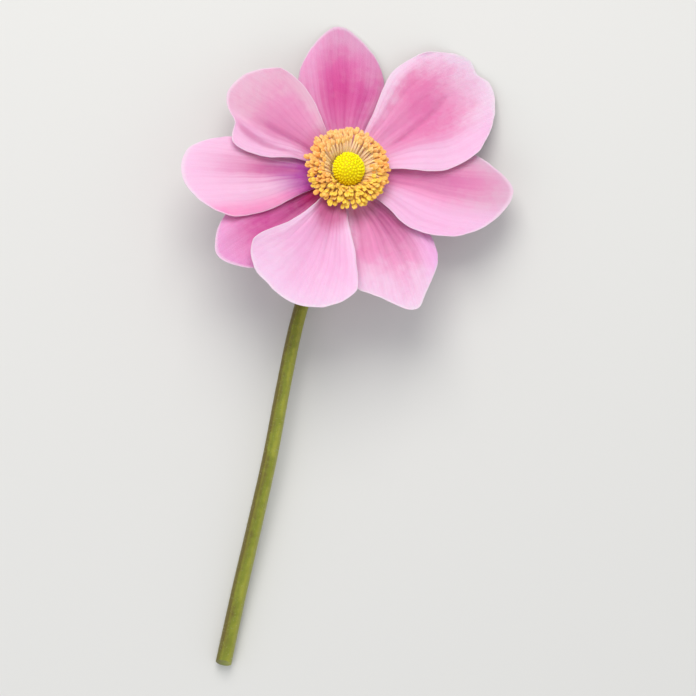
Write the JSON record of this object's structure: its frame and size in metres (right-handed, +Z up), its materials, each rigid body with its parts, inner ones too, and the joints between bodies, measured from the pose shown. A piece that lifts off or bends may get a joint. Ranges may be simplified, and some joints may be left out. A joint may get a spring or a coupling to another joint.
{
  "type": "japanese anemone flower",
  "caption": "Cut Japanese anemone flower: overlapping pink tepals, a ring of yellow stamens round a domed centre, and a bare curved stem, lying face up.",
  "frame": {"origin": "centre of the bounding box's bottom face, on the surface that the cut flower lies on", "axes": "+Z up from the surface, +Y from the stem's cut end towards the flower head, +X to the right when seen from above with the head at the top"},
  "size_m": [0.0726, 0.1394, 0.0272],
  "materials": {
    "stem": "matte",
    "tepal_1": "matte",
    "tepal_2": "matte",
    "tepal_3": "matte",
    "tepal_4": "matte",
    "tepal_5": "matte",
    "tepal_6": "matte",
    "tepal_7": "matte",
    "tepal_8": "matte",
    "stamens": "matte",
    "pistil_head": "matte"
  },
  "bodies": {
    "root": {"stem": "stem", "tepal_1": "tepal_1", "tepal_2": "tepal_2", "tepal_3": "tepal_3", "tepal_4": "tepal_4", "tepal_5": "tepal_5", "tepal_6": "tepal_6", "tepal_7": "tepal_7", "tepal_8": "tepal_8", "stamens": "stamens", "pistil_head": "pistil_head"}
  },
  "joints": []
}
